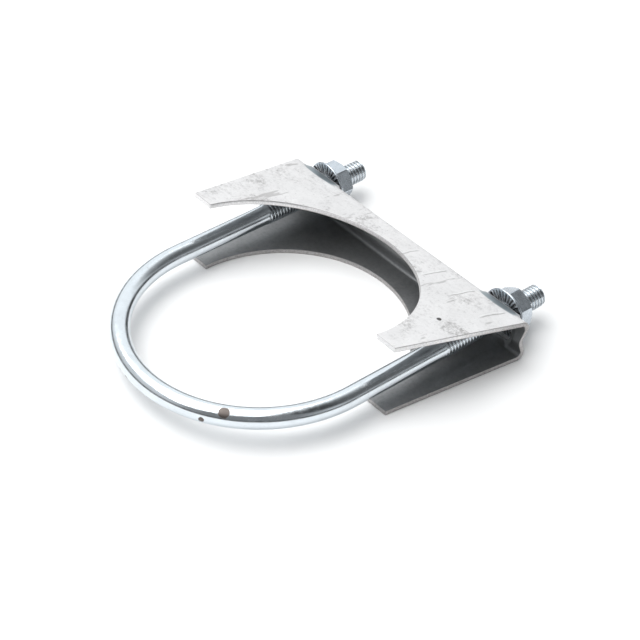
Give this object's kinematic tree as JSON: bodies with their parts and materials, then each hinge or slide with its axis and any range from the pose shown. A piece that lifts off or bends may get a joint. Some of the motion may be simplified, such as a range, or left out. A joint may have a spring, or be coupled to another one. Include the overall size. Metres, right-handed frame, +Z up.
{
  "type": "u-bolt pipe clamp",
  "caption": "Round-rod U-bolt pipe clamp: a pressed sheet-steel saddle slides on the threaded legs and serrated flange nuts draw it tight.",
  "frame": {"origin": "centre of the assembly's bounding box in plan, on the surface that the saddle's lower flange lies on", "axes": "+Y along the legs from the bow towards the nuts, +X along the saddle from the left nut to the right nut, +Z up through the pipe space"},
  "size_m": [0.1434, 0.1592, 0.0321],
  "materials": {
    "bright_zinc_rod": "bright blue-white zinc plate, glossy, fine drawing lines, thread rolled",
    "galvanized_sheet": "galvanized sheet, satin, light scuffs and press marks, bare cut edges",
    "nut_zinc": "blue-grey zinc plate, semi-gloss"
  },
  "bodies": {
    "saddle": {"saddle": "galvanized_sheet"},
    "u_bolt": {"u_bolt": "bright_zinc_rod"},
    "left_nut": {"left_nut": "nut_zinc"},
    "right_nut": {"right_nut": "nut_zinc"}
  },
  "joints": [
    {"name": "u_bolt_draw", "type": "slide", "parent": "saddle", "child": "u_bolt", "axis": [0, 1, 0], "range_m": [-0.01111, 0.02699]},
    {"name": "left_nut_turn", "type": "hinge", "parent": "saddle", "child": "left_nut", "pos_m": [-0.0556, 0.0599, 0.01108], "axis": [0, -1, 0], "range_deg": [-2520, 6120]},
    {"name": "right_nut_turn", "type": "hinge", "parent": "saddle", "child": "right_nut", "pos_m": [0.0556, 0.0599, 0.01108], "axis": [0, -1, 0], "range_deg": [-2520, 6120]}
  ],
  "couplings": [
    {"joint": "left_nut_turn", "follows": "u_bolt_draw", "rad_per_m": 3957.9},
    {"joint": "right_nut_turn", "follows": "u_bolt_draw", "rad_per_m": 3957.9}
  ]
}
